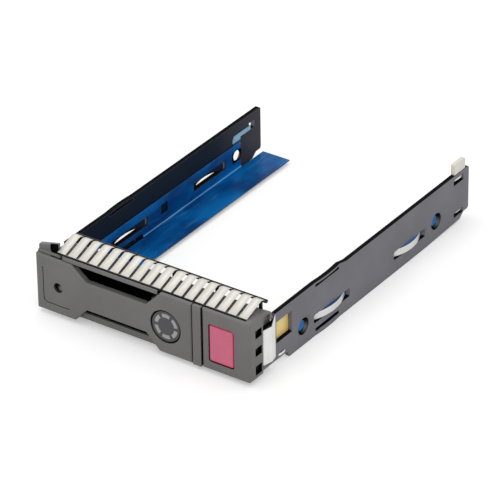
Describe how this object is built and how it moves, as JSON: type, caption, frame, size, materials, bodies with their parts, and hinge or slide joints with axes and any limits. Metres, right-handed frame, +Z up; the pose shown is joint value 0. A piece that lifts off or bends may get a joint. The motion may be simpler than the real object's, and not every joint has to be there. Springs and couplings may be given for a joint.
{
  "type": "hot swap drive caddy",
  "caption": "Hot swap drive caddy for a 3.5-inch drive: bezel with a swing-out ejector lever, release button and indicator ring, finger strip on top and side rails with sprung liners",
  "frame": {"origin": "bottom centre of the bounding box, level with the rails' feet", "axes": "+X to the right as seen from the front, +Y from the bezel back along the rails, +Z up"},
  "size_m": [0.1091, 0.1668, 0.0339],
  "materials": {
    "bezel_plastic": "fine moulded texture, dark grey",
    "button_plastic": "satin burgundy",
    "disc_plastic": "fine moulded texture, dark grey",
    "guide_plastic": "smoky translucent, unlit",
    "board": "green solder resist",
    "lamp": "clear resin",
    "zinc_steel": "zinc plated",
    "rail_plastic": "semi-gloss moulded black",
    "spring_steel": "bright rolled sheet",
    "blue_film": "deep blue film",
    "bright_strip": "bright tinned strip",
    "amber_flex": "amber polyimide",
    "pale_plastic": "pale moulded plastic",
    "gold": "gold flash",
    "spring_wire": "drawn spring wire",
    "chip_plastic": "black epoxy package"
  },
  "bodies": {
    "chassis": {"bezel_housing": "bezel_plastic", "end_cap": "bezel_plastic", "ring_disc": "disc_plastic", "light_guide": "guide_plastic", "led_board": "board", "board_leds": "lamp", "board_screws": "zinc_steel", "hinge_pin": "zinc_steel", "right_rail": "rail_plastic", "left_rail": "rail_plastic", "right_liner": "spring_steel", "left_liner": "spring_steel", "right_film": "blue_film", "left_film": "blue_film", "rail_screws_right": "zinc_steel", "rail_screws_left": "zinc_steel", "emi_top_strip": "bright_strip", "emi_side_spring": "bright_strip", "flex_cable": "amber_flex", "rear_contact_block": "pale_plastic", "rear_contacts": "gold", "button_spring": "spring_wire", "lever_spring": "spring_wire", "controller_chip": "chip_plastic", "flex_connector": "pale_plastic"},
    "lever": {"ejector_lever": "bezel_plastic"},
    "button": {"release_button": "button_plastic"}
  },
  "joints": [
    {"name": "lever_swing", "type": "hinge", "parent": "chassis", "child": "lever", "pos_m": [-0.0495, -0.0771, 0.015], "axis": [0, 0, -1], "range_deg": [0, 55]},
    {"name": "button_press", "type": "slide", "parent": "chassis", "child": "button", "axis": [0, 1, 0], "range_m": [0, 0.002], "stiffness_N_per_m": 400, "springref_m": -0.003, "deforming": ["button_spring"]}
  ]
}
